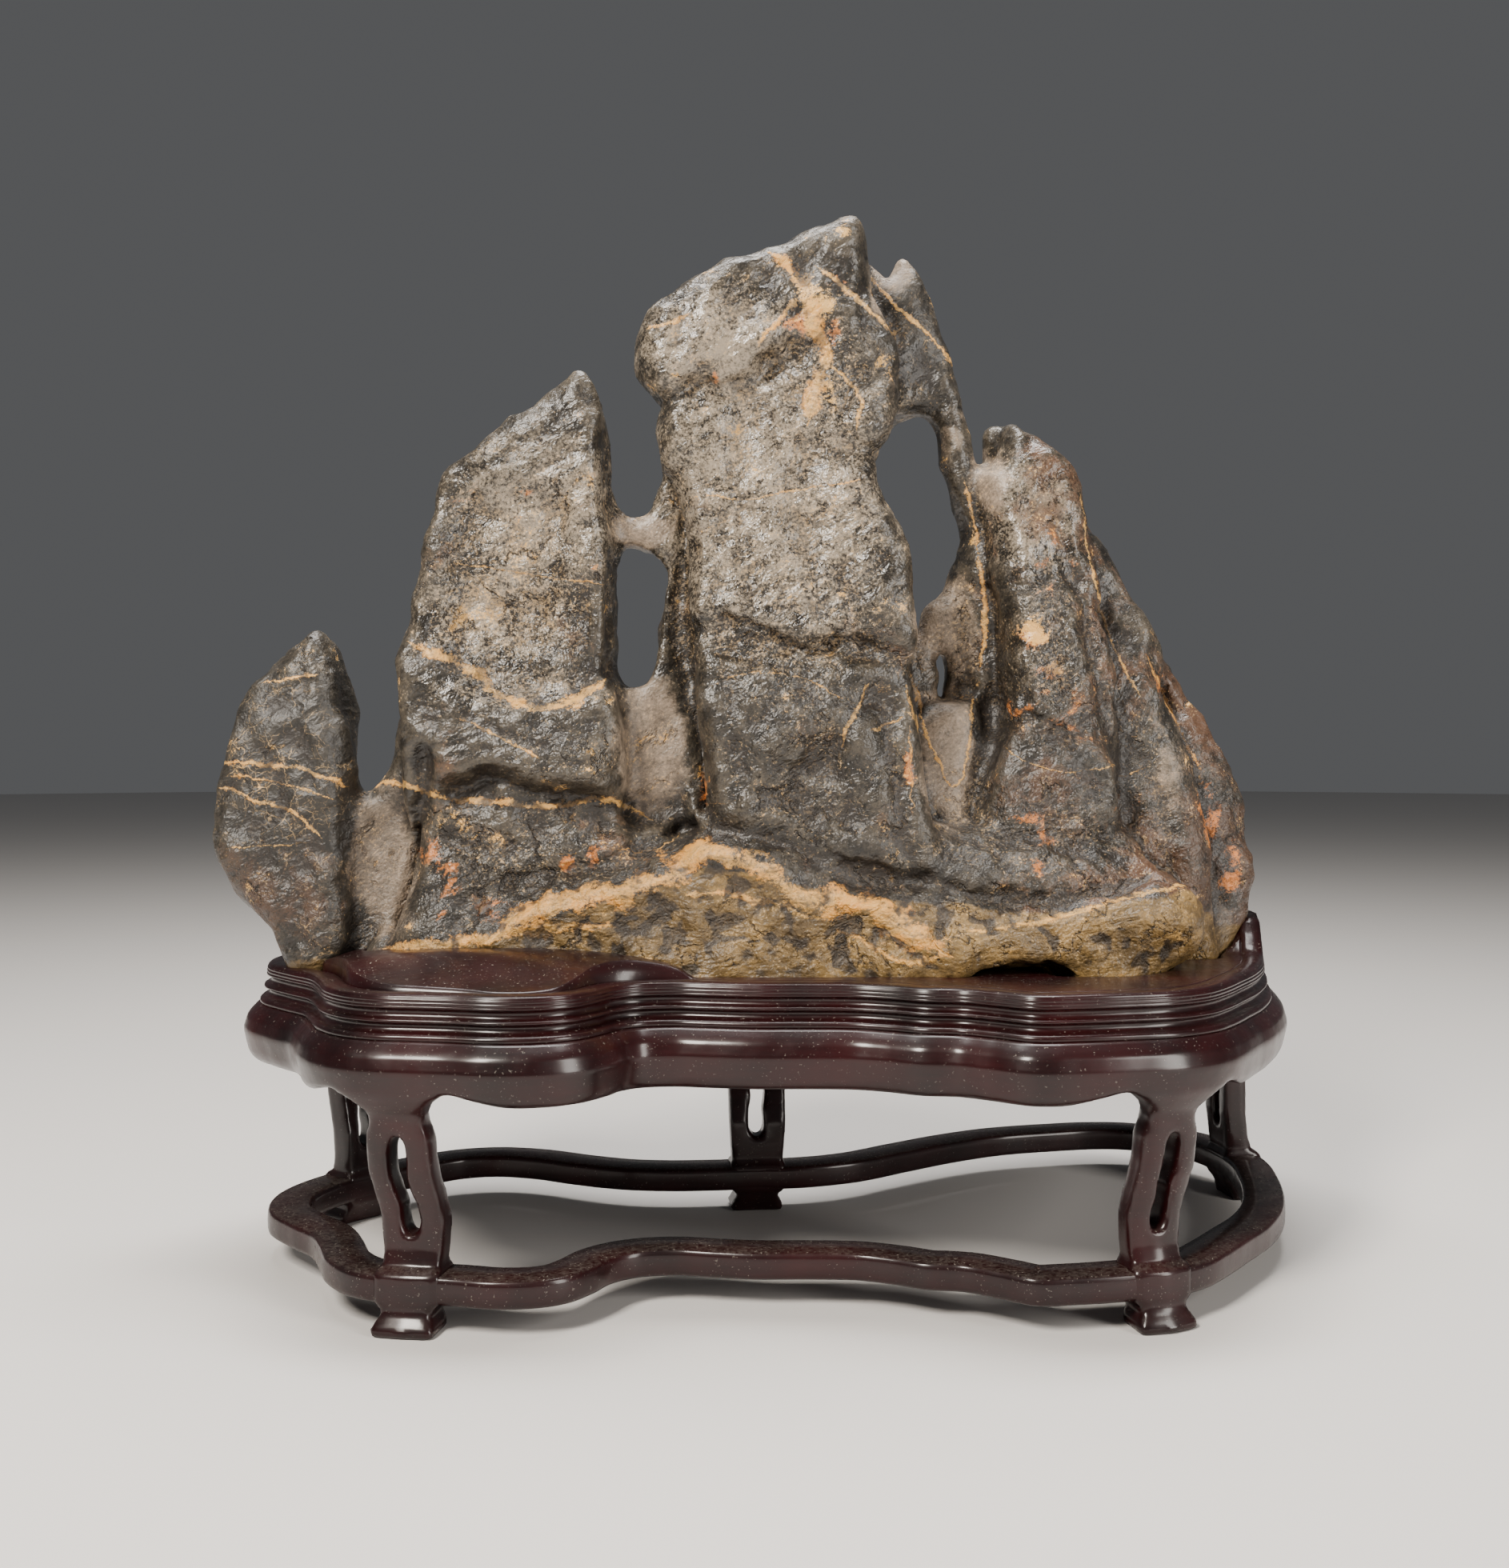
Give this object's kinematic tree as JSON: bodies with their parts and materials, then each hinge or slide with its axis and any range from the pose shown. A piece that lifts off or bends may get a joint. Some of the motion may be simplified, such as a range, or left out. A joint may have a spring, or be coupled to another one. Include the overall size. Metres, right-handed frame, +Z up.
{
  "type": "scholar stone on a carved wooden stand",
  "caption": "Mountain-shaped scholar stone with peaks, pierced webs and pale veins, resting in the fitted socket of a low lobed lacquered wood stand with legs and a stretcher ring.",
  "frame": {"origin": "on the floor under the middle of the whole object's box", "axes": "+X along the length, to the right as seen from the front; +Y from the front to the back; +Z up"},
  "size_m": [0.4027, 0.229, 0.374],
  "materials": {
    "stone": "dark grey limestone, hand polished, with cream and ochre veins",
    "lacquered_wood": "dark red-brown lacquered hardwood, glossy"
  },
  "bodies": {
    "root": {"stone": "stone", "board": "lacquered_wood", "leg_front_left": "lacquered_wood", "apron_front_left_to_front_right": "lacquered_wood", "rail_front_left_to_front_right": "lacquered_wood", "leg_front_right": "lacquered_wood", "apron_front_right_to_right": "lacquered_wood", "rail_front_right_to_right": "lacquered_wood", "leg_right": "lacquered_wood", "apron_right_to_back": "lacquered_wood", "rail_right_to_back": "lacquered_wood", "leg_back": "lacquered_wood", "apron_back_to_left": "lacquered_wood", "rail_back_to_left": "lacquered_wood", "leg_left": "lacquered_wood", "apron_left_to_front_left": "lacquered_wood", "rail_left_to_front_left": "lacquered_wood"}
  },
  "joints": []
}
